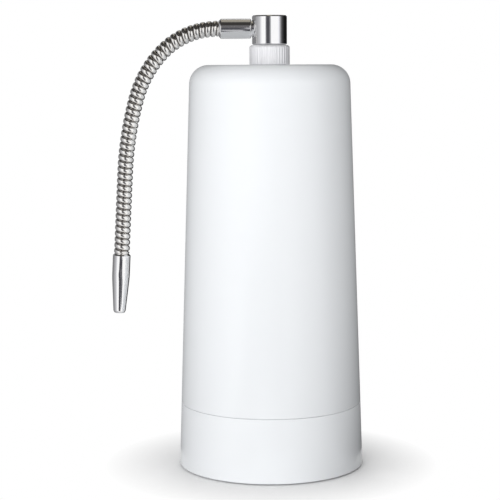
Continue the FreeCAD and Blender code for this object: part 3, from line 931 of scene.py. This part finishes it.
def end_cap(face, way):
    """Moulded cap with a shallow ring in its face and a rim over the felt."""
    size = sizes("cartridge")
    outer = BOTTOM_CAP_HIGH.x
    rim = BOTTOM_CAP_HIGH.z - BOTTOM_CAP_LOW.z
    ring_outer = outer - size.ring_margin
    ring_inner = size.gasket_radius + size.ring_clear
    dip = size.ring_dip
    return turned([
        (size.bore, face, EASED),
        (ring_inner, face, CRISP),
        (ring_inner + dip, face + way * dip, CRISP),
        (ring_outer - dip, face + way * dip, CRISP),
        (ring_outer, face, CRISP),
        (outer, face, size.cap_round),
        (outer, face + way * rim, EASED),
        (size.wrap_outer + PLAY, face + way * rim, CRISP),
        (size.wrap_outer + PLAY, face + way * size.cap_floor),
        (size.bore, face + way * size.cap_floor),
    ], LARGE_TURN)


class PURIFIER_OT_cartridge(bpy.types.Operator):
    """Cartridge: two caps, two gaskets and the felt round the carbon block and its core"""

    bl_idname = "purifier.cartridge"
    bl_label = "Cartridge"

    def execute(self, context):
        size = sizes("cartridge")
        add_piece(end_cap(BOTTOM_CAP_LOW.z, 1), "bottom_cap_moulding", "base", "cap_plastic", "bottom_cap")
        add_piece(end_cap(TOP_CAP_HIGH.z, -1), "top_cap_moulding", "base", "cap_plastic", "top_cap")
        low = BOTTOM_CAP_LOW.z - size.gasket_thick
        for name, foot in (("bottom_gasket", low), ("top_gasket", TOP_CAP_HIGH.z)):
            gasket = flat_ring(size.gasket_radius, size.bore, foot, foot + size.gasket_thick, SOFT)
            add_piece(gasket, f"{name}_rubber", "base", "black_rubber", name)

        felt = outline([
            (size.wrap_outer, WRAP_LOW.z),
            (size.wrap_outer, WRAP_HIGH.z),
            (size.wrap_inner, WRAP_HIGH.z),
            (size.wrap_inner, WRAP_LOW.z),
        ])
        cut_rows(felt, size.wrap_outer, WRAP_LOW.z, WRAP_HIGH.z, rows=120)
        spin(felt, LARGE_TURN)
        middle = (size.wrap_outer + size.wrap_inner) / 2
        slow, quick, highest = 70, 190, 1.2
        lap_turn, lap_width, lap_depth = -0.5, 0.05, 0.0004
        for vert in felt.verts:
            flat = Vector((vert.co.x, vert.co.y, 0))
            if flat.length > middle:
                wave = noise.noise(vert.co * slow) + 0.5 * noise.noise(vert.co * quick)
                lap = max(0.0, 1 - abs(math.atan2(flat.x, -flat.y) - lap_turn) / lap_width)
                vert.co += flat.normalized() * (size.felt_wave * (wave - highest) - lap_depth * lap)
        add_piece(felt, "prefilter_felt", "base", "felt", "prefilter_wrap", sharp=60)
        dress_node("carbon_block", "carbon")
        dress_node("core_tube", "cap_plastic")
        return {"FINISHED"}


# Housing


class PURIFIER_OT_housing(bpy.types.Operator):
    """Tall tapered housing with its rounded shoulder, neck, inner seat and threaded land"""

    bl_idname = "purifier.housing"
    bl_label = "Housing"

    def execute(self, context):
        size = sizes("housing")
        taper = (size.foot_radius - size.top_radius) / (size.top_height - size.foot_height)
        inner_low = size.foot_radius - size.wall
        inner_top = size.top_radius - size.wall
        roof_under = size.top_height - size.roof
        shell = outline([
            (size.foot_radius, size.foot_height, SEAM_ROUND),
            (size.top_radius, size.top_height, size.shoulder, 20),
            (size.neck_radius, size.top_height, SOFT),
            (size.neck_radius, size.neck_top, EASED),
            (size.neck_bore, size.neck_top, CRISP),
            (size.neck_bore, size.seat_height, EASED),
            (size.seat_radius, size.seat_height, BLUNT),
            (size.seat_radius, roof_under, size.seat_round),
            (inner_top, roof_under, size.inner_round, 10),
            (inner_low - (size.land_top - size.foot_height) * taper, size.land_top, BLUNT),
            (size.land_radius, size.land_top, EASED),
            (size.land_radius, size.land_under, EASED),
            (inner_low, size.land_under, CRISP),
            (inner_low, size.foot_height, NEAT),
        ])
        cut_rows(shell, size.land_radius, size.land_under, size.land_top, rows=54)
        spin(shell, LARGE_TURN)
        runout = 0.0008
        thread(shell, size.land_radius, size.land_under + runout, size.land_top - runout, way=1)
        add_piece(shell, "housing_shell", "housing", "white_moulding", "housing")
        return {"FINISHED"}


# Swivel


class PURIFIER_OT_collar(bpy.types.Operator):
    """Collar nut with its grip flutes"""

    bl_idname = "purifier.collar"
    bl_label = "Collar Nut"

    def execute(self, context):
        size = sizes("swivel")
        low, high = NUT_LOW.z, NUT_HIGH.z
        nut = outline([
            (size.nut_bore, low, CRISP),
            (size.nut_radius, low, NEAT),
            (size.nut_radius, high - size.nut_chamfer, CRISP, 2),
            (size.nut_radius - size.nut_chamfer, high, CRISP, 2),
            (size.lip_bore, high, CRISP),
            (size.lip_bore, size.lip_under, SHARP),
            (size.nut_bore, size.lip_under, CRISP),
        ])
        steps_each, fullness = 10, 0.8
        spin(nut, size.flute_count * steps_each)
        step = math.tau / size.flute_count
        for vert in nut.verts:
            flat = Vector((vert.co.x, vert.co.y, 0))
            off = abs((math.atan2(flat.y, flat.x) / step) % 1.0 - 0.5) * step * size.nut_radius
            share = max(0.0, 1 - off / (size.flute_width / 2))
            limit = size.nut_radius - size.flute_depth * share ** fullness
            if flat.length > limit:
                vert.co.x *= limit / flat.length
                vert.co.y *= limit / flat.length
        add_piece(nut, "collar_nut_fluted", "housing", "collar_plastic", "collar_nut", sharp=40)
        return {"FINISHED"}


def outlet_way():
    """The frame of the side outlet: its own Z points out to the side, from the spot face."""
    size = sizes("swivel")
    place = Matrix.Translation((-size.spot_face, 0, size.outlet_height))
    return place @ Matrix.Rotation(-math.pi / 2, 4, "Y")


def groove(radius, cut):
    """The corners of a square groove in a wall, from its radius, foot and top."""
    bottom, low, high = cut
    return [(radius, low), (bottom, low), (bottom, high), (radius, high)]


class PURIFIER_OT_elbow(bpy.types.Operator):
    """Chrome elbow: drum with a side outlet, and its tail in the neck"""

    bl_idname = "purifier.elbow"
    bl_label = "Elbow"

    def execute(self, context):
        size = sizes("swivel")
        low, high = ELBOW_LOW.z, ELBOW_HIGH.z
        edge = size.drum_chamfer
        drum = turned([
            (size.water_way, low, CRISP),
            (size.tail_radius, low, EASED),
            *groove(size.tail_radius, size.seal_groove),
            *groove(size.tail_radius, size.ring_groove),
            (size.tail_radius, size.drum_foot, CRISP),
            (size.drum_radius - edge, size.drum_foot, CRISP),
            (size.drum_radius, size.drum_foot + edge, NEAT),
            (size.drum_radius, high - edge, NEAT),
            (size.drum_radius - edge, high, NEAT),
            (0, high),
            (0, size.outlet_height + size.water_way / 2),
            (size.water_way, size.outlet_height),
        ], SMOOTH_TURN + FINE_TURN)
        port = cylinder(size.port_radius, -size.spot_face, PAST, FINE_TURN)
        drum = combined(drum, moved(port, outlet_way()), "DIFFERENCE")
        face = cylinder(sizes("spout").nipple_radius + PLAY, 0, PAST, FINE_TURN)
        drum = combined(drum, moved(face, outlet_way()), "DIFFERENCE")
        add_piece(drum, "spout_elbow_plated", "spout", "chrome_plate", "spout_elbow")
        dress_node("tail_seal", "black_rubber")
        dress_node("slip_washer", "cap_plastic")
        dress_node("retaining_ring", "stainless")
        return {"FINISHED"}


# Spout


class PURIFIER_OT_ferrule(bpy.types.Operator):
    """Nipple in the elbow and the crimped ferrule over it"""

    bl_idname = "purifier.ferrule"
    bl_label = "Ferrule"

    def execute(self, context):
        size = sizes("spout")
        nipple = turned([
            (size.nipple_way, -size.nipple_depth),
            (size.nipple_thread, -size.nipple_depth, NEAT),
            (size.nipple_thread, 0),
            (size.nipple_radius, 0),
            (size.nipple_radius, size.nipple_length, NEAT),
            (size.barb_radius, size.nipple_length),
            (size.barb_radius, size.nipple_length + size.barb_length, CRISP),
            (size.nipple_way, size.nipple_length + size.barb_length),
        ], FINE_TURN)
        add_piece(moved(nipple, outlet_way()), "hose_nipple_plated", "spout", "chrome_plate", "hose_nipple")

        start, end = size.ferrule_start, size.ferrule_end
        step_top = start + size.ferrule_lip
        inside = size.nipple_radius + PLAY
        swell = (size.ferrule_radius - size.ferrule_waist) / 4
        points = 16
        shoulder = []
        for number in range(1, points + 1):
            left = 1 - number / points
            height = step_top + size.ferrule_shoulder * number / points
            shoulder.append((size.ferrule_radius - swell * left ** 2, height))
        ferrule = outline([
            (inside, start),
            (size.ferrule_waist, start, size.waist_round),
            (size.ferrule_radius - swell, step_top, CRISP),
            *shoulder,
            (size.ferrule_radius, end - size.ferrule_chamfer, BLUNT),
            (size.ferrule_radius - size.ferrule_chamfer, end, NEAT),
            (size.socket_radius, end, SHARP),
            (size.socket_radius, start + size.grip),
            (inside, start + size.grip),
        ])
        cut_rows(ferrule, size.ferrule_radius, start + size.ferrule_shoulder, end, rows=40)
        spin(ferrule)
        moved(ferrule, outlet_way())
        add_piece(ferrule, "hose_ferrule_plated", "spout", "chrome_plate", "hose_ferrule")
        return {"FINISHED"}


def spout_runs():
    """The spout's centre line as runs of (length, radius), with no radius for a straight run."""
    size = sizes("spout")
    start = size.ferrule_end - size.ferrule_start - size.grip
    runs = [(start + size.lead, None)]
    for bend, turn in zip(size.bends, (size.first_angle, size.second_angle, size.third_angle)):
        runs.append((bend * turn, bend))
    runs.append((size.drop + size.nozzle_socket, None))
    return runs


def spout_place(distance, runs):
    """The frame of the spout after a distance, with its own Z along the centre line."""
    size = sizes("spout")
    swivel = sizes("swivel")
    point = Vector((-swivel.spot_face - size.ferrule_start - size.grip, 0, swivel.outlet_height))
    heading = math.pi
    left = distance
    for number, (run, radius) in enumerate(runs):
        step = left if number == len(runs) - 1 else min(left, run)
        if radius is None:
            point += Vector((math.cos(heading), 0, math.sin(heading))) * step
        else:
            after = heading + step / radius
            point.x += radius * (math.sin(after) - math.sin(heading))
            point.z += radius * (math.cos(heading) - math.cos(after))
            heading = after
        left -= step
        if left <= 0:
            break
    along = Vector((math.cos(heading), 0, math.sin(heading)))
    level = Vector((0, 1, 0))
    facing = Matrix((level.cross(along), level, along)).transposed().to_4x4()
    return Matrix.Translation(point) @ facing


class PURIFIER_OT_winding(bpy.types.Operator):
    """Flexible spout wound left-handed from bright strip, over its liner hose"""

    bl_idname = "purifier.winding"
    bl_label = "Wound Spout"

    def execute(self, context):
        size = sizes("spout")
        runs = spout_runs()
        total = sum(run for run, _ in runs)
        mouth = runs[0][0] - size.lead
        far_mouth = total - size.nozzle_socket
        turns = round((far_mouth - mouth) / size.pitch)
        pitch = (far_mouth - mouth) / turns
        rows_each, bore_rows, around = 14, 60, 44
        fullness, run_in, centimetres = 2.2, 0.001, 100
        tube = outline([(size.end_radius, 0), (size.end_radius, total), (size.bore, total), (size.bore, 0)])
        cut_rows(tube, size.end_radius, 0, total, round(total / pitch * rows_each))
        cut_rows(tube, size.bore, 0, total, bore_rows)
        spin(tube, around)

        depth_layer = tube.verts.layers.float.new("depth")
        uv_layer = tube.loops.layers.uv.new("winding")
        for vert in tube.verts:
            flat = Vector((vert.co.x, vert.co.y, 0))
            if flat.length < (size.bore + size.end_radius) / 2:
                continue
            phase = ((vert.co.z - mouth) / pitch + math.atan2(flat.y, flat.x) / math.tau) % 1.0
            off = abs(2 * phase - 1)
            crest = math.sqrt(max(0.0, 1 - (off / size.strand) ** fullness))
            radius = size.valley + (size.crest - size.valley) * crest
            from_mouth = min(vert.co.z - mouth, far_mouth - vert.co.z)
            inside = min(1.0, max(0.0, from_mouth / run_in))
            radius = size.end_radius + (radius - size.end_radius) * inside
            vert[depth_layer] = (1 - crest) * inside
            vert.co.x = flat.x / flat.length * radius
            vert.co.y = flat.y / flat.length * radius
        for face in tube.faces:
            middle = face.calc_center_median()
            home = math.atan2(middle.y, middle.x) / math.tau
            for loop in face.loops:
                here = math.atan2(loop.vert.co.y, loop.vert.co.x) / math.tau
                here = home + (here - home + 0.5) % 1.0 - 0.5
                across = here * math.tau * size.crest * centimetres
                loop[uv_layer].uv = (across, loop.vert.co.z / pitch + here)
        for vert in tube.verts:
            place = spout_place(vert.co.z, runs)
            vert.co = place @ Vector((vert.co.x, vert.co.y, 0))
        finish = wound_steel()
        add_piece(tube, "wound_spout_strip", "spout", "stainless", "wound_spout", finish, sharp=70)
        dress_node("liner_hose", "liner_plastic")
        return {"FINISHED"}


class PURIFIER_OT_nozzle(bpy.types.Operator):
    """Turned nozzle at the spout's end"""

    bl_idname = "purifier.nozzle"
    bl_label = "Nozzle"

    def execute(self, context):
        size = sizes("spout")
        runs = spout_runs()
        mouth = sum(run for run, _ in runs) - size.nozzle_socket
        nozzle = turned([
            (size.socket_radius, 0, SHARP),
            (size.nozzle_radius - size.nozzle_chamfer, 0, SHARP),
            (size.nozzle_radius, size.nozzle_chamfer, NEAT),
            (size.nozzle_radius, size.nozzle_straight, size.taper_round, 8),
            (size.tip_radius, size.nozzle_length - size.tip_round, size.tip_round),
            (size.tip_end, size.nozzle_length, EASED),
            (size.outlet_radius, size.nozzle_length, CRISP),
            (size.outlet_radius, size.nozzle_socket),
            (size.socket_radius, size.nozzle_socket),
        ])
        place = spout_place(mouth, runs)
        add_piece(moved(nozzle, place), "nozzle_plated", "spout", "chrome_plate", "nozzle")
        return {"FINISHED"}


# Studio


def soft_light(name, turn, height, width, tall, power):
    """A softbox at a turn from the front, positive to the right, that looks at the object."""
    reach = sizes("studio").lamp_reach
    data = bpy.data.lights.new(name, "AREA")
    data.shape = "RECTANGLE"
    data.size = width
    data.size_y = tall
    data.energy = power
    lamp = bpy.data.objects.new(name, data)
    lamp.location = Matrix.Rotation(math.radians(turn), 4, "Z") @ Vector((0, -reach, height))
    aim = Vector((0, 0, 0.17))
    lamp.rotation_euler = (aim - lamp.location).to_track_quat("-Z", "Y").to_euler()
    lamp.visible_glossy = False
    bpy.context.scene.collection.objects.link(lamp)
    return lamp


def screen(name, first, last, corners, shade):
    """A curved studio screen between two turns from the front, which shows only in reflections."""
    bm = bmesh.new()
    verts = [bm.verts.new((0, -out, up)) for out, up in corners]
    for low, high in zip(verts, verts[1:]):
        bm.edges.new((low, high))
    bmesh.ops.rotate(bm, verts=verts, cent=(0, 0, 0), matrix=Matrix.Rotation(math.radians(first), 3, "Z"))
    sweep(bm, math.radians(last - first), 24, False)
    thing = as_object(bm, name)
    recipe = new_recipe(name)
    glow = recipe.add("ShaderNodeEmission", None, {"Color": shade, "Strength": 1.0})
    recipe.add("ShaderNodeOutputMaterial", None, {"Surface": glow})
    thing.data.materials.append(recipe.owner)
    thing.visible_camera = False
    thing.visible_diffuse = False
    thing.visible_shadow = False
    thing.visible_transmission = False
    return thing


def pale_floor():
    """White floor that keeps the object's shadow and runs out into the white backdrop.

    The light that it bounces back is darker near the object, on the right and less so on the left.
    """
    recipe = new_recipe("pale_floor")
    place = recipe.place()
    reach = recipe.add("ShaderNodeVectorMath", {"operation": "LENGTH"}, {0: place}, out="Value")
    aside = recipe.add("ShaderNodeSeparateXYZ", None, {"Vector": place}, out="X")
    seen = recipe.seen()
    fade = recipe.ramp(reach, 0.066, 0.12)
    right = recipe.ramp(aside, 0.02, 0.09)
    left = recipe.ramp(aside, -0.03, -0.1, last=0.4)
    near = recipe.ramp(reach, 0.1, 0.26, first=1.0, last=0.0)
    pale = recipe.blend(recipe.cloud(place, 500, 4), (0.97, 0.97, 0.97), (0.99, 0.99, 0.99))
    bounce = recipe.blend((right + left) * near, (0.97, 0.97, 0.97), (0.1, 0.1, 0.1))
    sockets = {"Base Color": recipe.blend(seen, bounce, pale), "Roughness": 0.85}
    paper = recipe.add("ShaderNodeBsdfPrincipled", None, sockets)
    white = recipe.add("ShaderNodeEmission", None, {"Color": (1, 1, 1), "Strength": 1.0})
    mixed = recipe.add("ShaderNodeMixShader", None, {0: fade * seen, 1: paper, 2: white})
    recipe.add("ShaderNodeOutputMaterial", None, {"Surface": mixed})
    return recipe.owner


def white_backdrop(ambient):
    """White all round for the camera and for reflections, and an even soft light for the rest."""
    world = bpy.data.worlds.new("white_backdrop")
    recipe = Recipe(world)
    strength = recipe.seen() * (1 - ambient) + ambient
    sky = recipe.add("ShaderNodeBackground", None, {"Color": (1, 1, 1), "Strength": strength})
    recipe.add("ShaderNodeOutputWorld", None, {"Surface": sky})
    return world


class PURIFIER_OT_studio(bpy.types.Operator):
    """Pale floor, softboxes, screens and the camera at the photograph's angle"""

    bl_idname = "purifier.studio"
    bl_label = "Studio"

    def execute(self, context):
        size = sizes("studio")
        scene = context.scene
        bm = bmesh.new()
        bmesh.ops.create_circle(bm, cap_ends=True, segments=96, radius=6.0)
        floor = as_object(bm, "floor")
        floor.data.materials.append(pale_floor())
        scene.world = white_backdrop(size.ambient)

        soft_light("key_softbox", -15, 0.41, 0.9, 1.0, size.key)
        soft_light("left_softbox", -62, 0.35, 0.6, 1.0, size.left)
        soft_light("back_softbox", 180, 0.5, 0.7, 0.9, size.back)

        reach = size.screen_reach
        inside = reach - 0.02
        nearer, further = inside - 0.01, inside + 0.01
        ground, brow, eaves = 0.002, 1.1, 1.6
        grey, dark = (0.4, 0.4, 0.42), (0.07, 0.07, 0.08)
        slit = [(inside, ground), (inside, 0.6)]
        far_strip = [(0.24, ground), (reach, ground)]
        side = [(0.08, ground), (reach, ground), (reach, brow)]
        for name, first, last, corners, shade in (
            ("slit", -22, 1, slit, (0.08, 0.08, 0.09)),
            ("slit_left_edge", -27, -22, slit, grey),
            ("slit_right_edge", 1, 9, slit, grey),
            ("upper_slit", -24, 2, [(further, 0.6), (further, brow)], (0.33, 0.30, 0.26)),
            ("above_slit", -6, 5, [(inside, 0.6), (inside, 1.44)], (0.14, 0.135, 0.14)),
            ("slit_foot", -26, 13, [(nearer, ground), (nearer, 0.1)], dark),
            ("near_floor", -38, -14, [(0.1, 0.0015), (0.3, 0.0015)], (0.46, 0.42, 0.37)),
            ("slit_floor", -32, -4, far_strip, dark),
            ("middle_floor", -4, 0, [(0.3, ground), (reach, ground)], (0.48, 0.48, 0.50)),
            ("slit_floor_right", 0, 13, far_strip, dark),
        ):
            screen(name, first, last, corners, shade)
        right_tones = ((58, 68, 0.9), (68, 77, 0.5), (77, 88, 0.16), (88, 104, 0.05), (104, 180, 0.01))
        for first, last, tone in right_tones:
            screen(f"right_{first}", first, last, side, (tone, tone, tone * 1.04))
        left_tones = ((-68, -56, 0.72), (-86, -68, 0.48), (-104, -86, 0.36), (-180, -104, 0.22))
        for first, last, tone in left_tones:
            screen(f"left_{-last}", first, last, side, (tone, tone, tone * 1.03))
        screen("canopy", 0, 360, [(reach, brow), (reach, eaves)], (0.05, 0.048, 0.045))
        screen("front_ceiling", -150, 150, [(0.2, eaves), (reach, eaves)], (0.045, 0.042, 0.04))
        screen("back_ceiling", 150, 210, [(0.2, eaves), (1.1, eaves)], (0.34, 0.31, 0.26))
        screen("middle_ceiling", 0, 360, [(0.001, eaves), (0.2, eaves)], (0.30, 0.28, 0.24))

        data = bpy.data.cameras.new("camera")
        data.lens = size.lens
        data.sensor_width = size.film
        camera = bpy.data.objects.new("camera", data)
        look = Matrix.Rotation(math.pi / 2 - size.tilt, 4, "X") @ Matrix.Rotation(size.roll, 4, "Z")
        camera.matrix_world = Matrix.Translation((size.aside, -size.distance, size.height)) @ look
        scene.collection.objects.link(camera)
        scene.camera = camera
        scene.view_settings.view_transform = "Standard"
        return {"FINISHED"}


class PURIFIER_PT_pieces(bpy.types.Panel):
    """Buttons for the pieces and the studio"""

    bl_idname = "PURIFIER_PT_pieces"
    bl_label = "Water Purifier"
    bl_space_type = "VIEW_3D"
    bl_region_type = "UI"
    bl_category = "Purifier"

    def draw(self, context):
        for operator in OPERATORS:
            self.layout.operator(operator.bl_idname)


OPERATORS = (
    PURIFIER_OT_base,
    PURIFIER_OT_inlet,
    PURIFIER_OT_cartridge,
    PURIFIER_OT_housing,
    PURIFIER_OT_collar,
    PURIFIER_OT_elbow,
    PURIFIER_OT_ferrule,
    PURIFIER_OT_winding,
    PURIFIER_OT_nozzle,
    PURIFIER_OT_studio,
)


def register():
    for kind in (*GROUPS.values(), *OPERATORS, PURIFIER_PT_pieces):
        bpy.utils.register_class(kind)
    for name, group in GROUPS.items():
        setattr(bpy.types.Scene, f"purifier_{name}", PointerProperty(type=group))


def unregister():
    for name in GROUPS:
        delattr(bpy.types.Scene, f"purifier_{name}")
    for kind in reversed((*GROUPS.values(), *OPERATORS, PURIFIER_PT_pieces)):
        bpy.utils.unregister_class(kind)


def main():
    register()
    bpy.ops.purifier.base()
    bpy.ops.purifier.inlet()
    bpy.ops.purifier.cartridge()
    bpy.ops.purifier.housing()
    bpy.ops.purifier.collar()
    bpy.ops.purifier.elbow()
    bpy.ops.purifier.ferrule()
    bpy.ops.purifier.winding()
    bpy.ops.purifier.nozzle()
    bpy.ops.purifier.studio()


if __name__ == "__main__":
    main()
